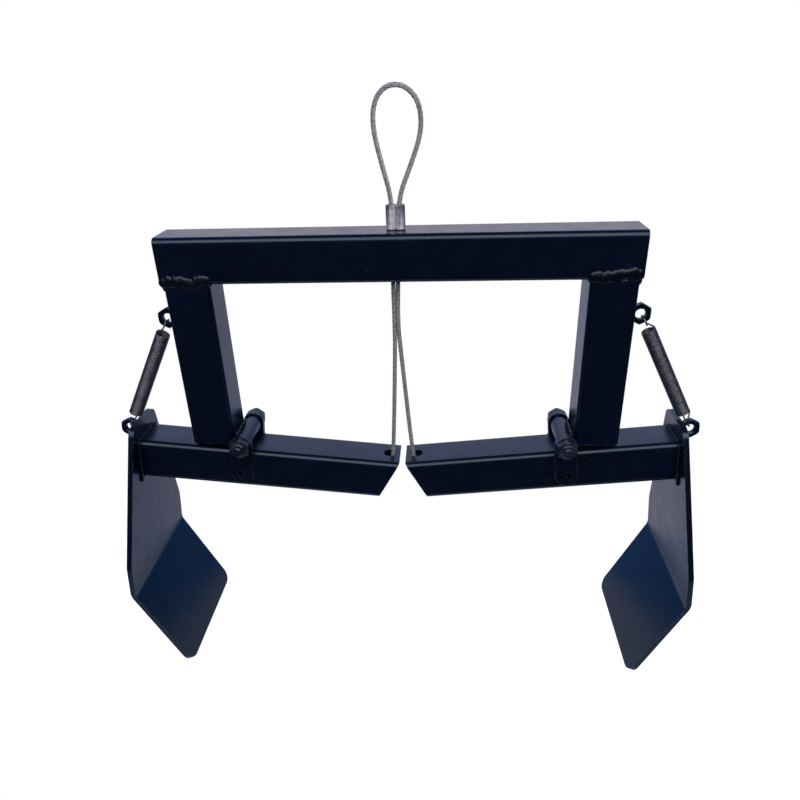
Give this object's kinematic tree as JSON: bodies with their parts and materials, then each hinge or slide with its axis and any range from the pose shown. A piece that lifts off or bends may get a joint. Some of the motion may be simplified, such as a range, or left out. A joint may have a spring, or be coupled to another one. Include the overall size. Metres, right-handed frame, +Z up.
{
  "type": "bag lifting clamp",
  "caption": "Scissor-type bag lifting clamp: square-tube frame, pivoting arms with bent paddles, wire rope loop that closes them when lifted and springs that open them.",
  "frame": {"origin": "on the floor, midway between the lower edges of the two paddles, clamp open", "axes": "+X along the beam, +Y to the rear, +Z up towards the rope loop"},
  "size_m": [0.5486, 0.131, 0.5443],
  "materials": {
    "black_paint": "satin blue-black paint",
    "pivot_hardware": "black painted bolt, washers and lock nut",
    "spring_wire": "dark oiled spring steel",
    "wire_rope": "galvanised steel strand",
    "pressed_sleeve": "pressed aluminium"
  },
  "bodies": {
    "frame": {"top_beam": "black_paint", "left_leg": "black_paint", "left_pivot_bush": "black_paint", "left_leg_nut": "black_paint", "right_leg": "black_paint", "right_pivot_bush": "black_paint", "right_leg_nut": "black_paint"},
    "left_arm": {"left_arm_tube": "black_paint", "left_front_lug": "black_paint", "left_rear_lug": "black_paint", "left_paddle": "black_paint", "left_paddle_nut": "black_paint", "left_pivot_bolt": "pivot_hardware", "left_pivot_washers": "pivot_hardware", "left_pivot_lock_nut": "pivot_hardware"},
    "left_spring": {"left_spring": "spring_wire"},
    "left_spring_end": {"left_spring_hook": "spring_wire"},
    "right_arm": {"right_arm_tube": "black_paint", "right_front_lug": "black_paint", "right_rear_lug": "black_paint", "right_paddle": "black_paint", "right_paddle_nut": "black_paint", "right_pivot_bolt": "pivot_hardware", "right_pivot_washers": "pivot_hardware", "right_pivot_lock_nut": "pivot_hardware"},
    "right_spring": {"right_spring": "spring_wire"},
    "right_spring_end": {"right_spring_hook": "spring_wire"},
    "rope": {"lifting_rope": "wire_rope", "loop_ferrule": "pressed_sleeve", "left_rope_stop": "pressed_sleeve", "right_rope_stop": "pressed_sleeve"}
  },
  "joints": [
    {"name": "left_arm_pivot", "type": "hinge", "parent": "frame", "child": "left_arm", "pos_m": [-0.15, 0, 0.24265], "axis": [0, -1, 0], "range_deg": [0, 25], "stiffness_Nm_per_rad": 5.2, "springref_deg": -20.05},
    {"name": "left_spring_swing", "type": "hinge", "parent": "frame", "child": "left_spring", "pos_m": [-0.2065, 0, 0.36015], "axis": [0, -1, 0], "range_deg": [0, 10.29]},
    {"name": "left_spring_stretch", "type": "slide", "parent": "left_spring", "child": "left_spring_end", "axis": [-0.4668, 0, -0.8844], "range_m": [0, 0.04312], "deforming": ["left_spring"]},
    {"name": "right_arm_pivot", "type": "hinge", "parent": "frame", "child": "right_arm", "pos_m": [0.15, 0, 0.24265], "axis": [0, 1, 0], "range_deg": [0, 25], "stiffness_Nm_per_rad": 5.2, "springref_deg": -20.05},
    {"name": "right_spring_swing", "type": "hinge", "parent": "frame", "child": "right_spring", "pos_m": [0.2065, 0, 0.36015], "axis": [0, 1, 0], "range_deg": [0, 10.29]},
    {"name": "right_spring_stretch", "type": "slide", "parent": "right_spring", "child": "right_spring_end", "axis": [0.4668, 0, -0.8844], "range_m": [0, 0.04312], "deforming": ["right_spring"]},
    {"name": "rope_pull", "type": "slide", "parent": "frame", "child": "rope", "axis": [0, 0, 1], "range_m": [0, 0.05937]}
  ],
  "couplings": [
    {"joint": "left_spring_swing", "follows": "left_arm_pivot", "ratio": 0.4112},
    {"joint": "left_spring_stretch", "follows": "left_arm_pivot", "m_per_rad": 0.09876},
    {"joint": "right_spring_swing", "follows": "left_arm_pivot", "ratio": 0.4112},
    {"joint": "right_spring_stretch", "follows": "left_arm_pivot", "m_per_rad": 0.09876},
    {"joint": "right_arm_pivot", "follows": "left_arm_pivot", "ratio": 1},
    {"joint": "rope_pull", "follows": "left_arm_pivot", "m_per_rad": 0.136}
  ]
}
